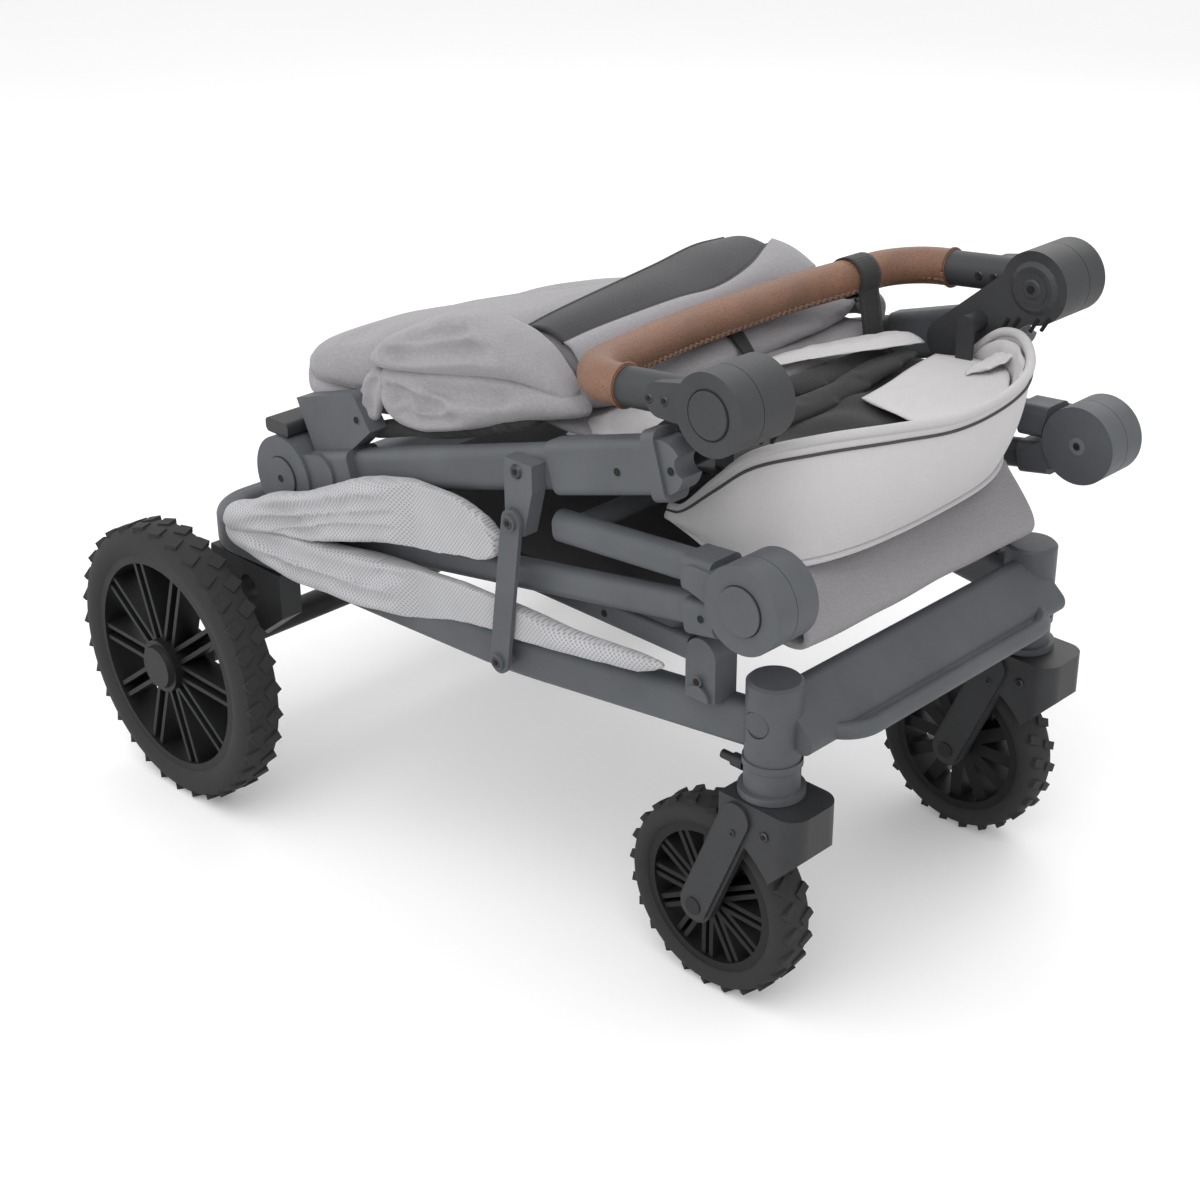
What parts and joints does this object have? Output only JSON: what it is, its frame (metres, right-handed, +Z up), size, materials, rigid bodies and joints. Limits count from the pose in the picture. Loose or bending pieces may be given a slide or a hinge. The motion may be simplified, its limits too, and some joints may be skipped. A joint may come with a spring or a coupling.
{
  "type": "pet stroller",
  "caption": "Folding pet stroller in its folded state: oval-tube chassis on swivel front and large rear wheels, hinged walls, folded hood and swing handle.",
  "frame": {"origin": "on the floor under the middle of the folded stroller's box", "axes": "+X forward to the swivel wheels, +Y left, +Z up"},
  "size_m": [0.852, 0.686, 0.582],
  "materials": {
    "frame_grey": "satin slate-grey powder coat",
    "black_plastic": "matte moulded black",
    "button_grey": "matte slate grey",
    "axle_black": "satin black",
    "steel": "brushed",
    "tyre_rubber": "matte rubber",
    "tan_leather": "grained leather with cross stitching",
    "grey_cloth": "heather woven cloth",
    "cream_cloth": "smooth cream lining",
    "black_mesh": "open black mesh",
    "grey_net": "grey air mesh",
    "black_webbing": "woven webbing",
    "floor_card": "black board"
  },
  "bodies": {
    "chassis": {"base_frame": "frame_grey", "front_beam": "frame_grey", "caster_post_right": "frame_grey", "caster_post_left": "frame_grey", "rear_leg_right": "black_plastic", "rear_leg_left": "black_plastic", "front_hinge_lower_right": "frame_grey", "front_hinge_lower_left": "frame_grey", "rear_hinge_bracket_right": "frame_grey", "rear_hinge_bracket_left": "frame_grey", "side_mesh_right": "grey_net", "side_mesh_left": "grey_net", "rear_axle": "axle_black", "front_knuckles": "frame_grey", "floor_struts": "frame_grey", "floor_board": "floor_card", "hinge_pins": "steel", "floor_rails": "frame_grey", "front_panel": "grey_cloth"},
    "rear_wall": {"rear_hinge_arm_right": "frame_grey", "rear_hinge_arm_left": "frame_grey", "rear_wall_tube_right": "frame_grey", "rear_wall_tube_left": "frame_grey", "wall_sleeve_right": "frame_grey", "wall_sleeve_left": "frame_grey", "handle_arm_right": "black_plastic", "handle_arm_left": "black_plastic", "lock_bracket": "frame_grey", "rear_cross_bar": "black_plastic", "hood_bundle": "grey_cloth", "hood_mesh": "black_mesh"},
    "front_wall": {"front_hinge_arm_right": "frame_grey", "front_hinge_arm_left": "frame_grey", "front_wall_frame": "frame_grey"},
    "handlebar": {"handle_end_right": "black_plastic", "handle_end_left": "black_plastic", "handle_grip": "tan_leather", "wrist_strap": "black_webbing"},
    "canopy": {"canopy_bow": "black_plastic", "canopy_visor": "cream_cloth"},
    "fold_lock": {"fold_lock_bar": "frame_grey"},
    "brake": {"brake_pedal": "black_plastic"},
    "caster_right": {"caster_fork_right": "black_plastic", "front_axle_right": "steel"},
    "front_wheel_right": {"front_rim_right": "black_plastic", "front_tyre_right": "tyre_rubber"},
    "rear_wheel_right": {"rear_rim_right": "black_plastic", "rear_tyre_right": "tyre_rubber"},
    "hub_button_right": {"hub_button_right": "black_plastic"},
    "release_button_right": {"release_button_right": "button_grey"},
    "swivel_lock_right": {"swivel_lock_right": "black_plastic"},
    "caster_left": {"caster_fork_left": "black_plastic", "front_axle_left": "steel"},
    "front_wheel_left": {"front_rim_left": "black_plastic", "front_tyre_left": "tyre_rubber"},
    "rear_wheel_left": {"rear_rim_left": "black_plastic", "rear_tyre_left": "tyre_rubber"},
    "hub_button_left": {"hub_button_left": "black_plastic"},
    "release_button_left": {"release_button_left": "button_grey"},
    "swivel_lock_left": {"swivel_lock_left": "black_plastic"}
  },
  "joints": [
    {"name": "fold", "type": "hinge", "parent": "chassis", "child": "rear_wall", "pos_m": [-0.176, 0, 0.35], "axis": [0, -1, 0], "range_deg": [0, 100], "deforming": ["side_mesh_right", "side_mesh_left"]},
    {"name": "front_fold", "type": "hinge", "parent": "chassis", "child": "front_wall", "pos_m": [0.389, 0, 0.408], "axis": [0, 1, 0], "range_deg": [0, 100]},
    {"name": "handle_swing", "type": "hinge", "parent": "rear_wall", "child": "handlebar", "pos_m": [0.345, 0, 0.549], "axis": [0, 1, 0], "range_deg": [0, 136]},
    {"name": "canopy_tilt", "type": "hinge", "parent": "rear_wall", "child": "canopy", "pos_m": [0.29203, 0, 0.50798], "axis": [0, -1, 0], "range_deg": [0, 40]},
    {"name": "lock_swing", "type": "hinge", "parent": "chassis", "child": "fold_lock", "pos_m": [0.126, -0.25, 0.27], "axis": [0, -1, 0], "range_deg": [0, 50]},
    {"name": "brake_press", "type": "hinge", "parent": "chassis", "child": "brake", "pos_m": [-0.283, 0, 0.143], "axis": [0, -1, 0], "range_deg": [0, 25]},
    {"name": "caster_swivel_right", "type": "hinge", "parent": "chassis", "child": "caster_right", "pos_m": [0.367, -0.179, 0.2], "axis": [0, 0, 1], "continuous": true},
    {"name": "front_wheel_spin_right", "type": "hinge", "parent": "caster_right", "child": "front_wheel_right", "pos_m": [0.3135, -0.179, 0.09], "axis": [0, 1, 0], "continuous": true},
    {"name": "rear_wheel_spin_right", "type": "hinge", "parent": "chassis", "child": "rear_wheel_right", "pos_m": [-0.283, -0.315, 0.143], "axis": [0, 1, 0], "continuous": true},
    {"name": "hub_button_right", "type": "slide", "parent": "handlebar", "child": "hub_button_right", "axis": [0, 1, 0], "range_m": [0, 0.003], "stiffness_N_per_m": 400},
    {"name": "release_button_right", "type": "slide", "parent": "chassis", "child": "release_button_right", "axis": [0, 1, 0], "range_m": [0, 0.0025], "stiffness_N_per_m": 400},
    {"name": "swivel_lock_right", "type": "slide", "parent": "chassis", "child": "swivel_lock_right", "axis": [-1, 0, 0], "range_m": [0, 0.005], "stiffness_N_per_m": 300},
    {"name": "caster_swivel_left", "type": "hinge", "parent": "chassis", "child": "caster_left", "pos_m": [0.367, 0.179, 0.2], "axis": [0, 0, 1], "continuous": true},
    {"name": "front_wheel_spin_left", "type": "hinge", "parent": "caster_left", "child": "front_wheel_left", "pos_m": [0.3135, 0.179, 0.09], "axis": [0, 1, 0], "continuous": true},
    {"name": "rear_wheel_spin_left", "type": "hinge", "parent": "chassis", "child": "rear_wheel_left", "pos_m": [-0.283, 0.315, 0.143], "axis": [0, 1, 0], "continuous": true},
    {"name": "hub_button_left", "type": "slide", "parent": "handlebar", "child": "hub_button_left", "axis": [0, -1, 0], "range_m": [0, 0.003], "stiffness_N_per_m": 400},
    {"name": "release_button_left", "type": "slide", "parent": "chassis", "child": "release_button_left", "axis": [0, -1, 0], "range_m": [0, 0.0025], "stiffness_N_per_m": 400},
    {"name": "swivel_lock_left", "type": "slide", "parent": "chassis", "child": "swivel_lock_left", "axis": [-1, 0, 0], "range_m": [0, 0.005], "stiffness_N_per_m": 300}
  ],
  "couplings": [
    {"joint": "front_fold", "follows": "fold", "ratio": 1}
  ]
}
